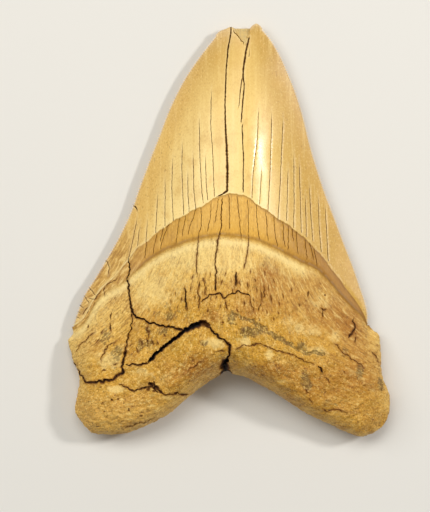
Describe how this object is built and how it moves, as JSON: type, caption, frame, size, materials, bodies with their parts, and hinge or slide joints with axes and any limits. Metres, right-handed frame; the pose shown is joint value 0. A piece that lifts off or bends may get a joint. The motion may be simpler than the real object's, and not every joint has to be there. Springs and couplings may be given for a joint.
{
  "type": "fossil megalodon tooth",
  "caption": "Broad triangular fossil shark tooth with a smooth enamelled crown and a cracked, two-lobed root, lying flat on its outer face.",
  "frame": {"origin": "middle of the bottom of the bounding box, on the surface that the tooth lies on", "axes": "+Y towards the tip, +Z out of the convex inner face, +X to the right seen from above with the tip away from the viewer"},
  "size_m": [0.1001, 0.1283, 0.0243],
  "materials": {
    "fossil": "satin"
  },
  "bodies": {
    "root": {"tooth": "fossil"}
  },
  "joints": []
}
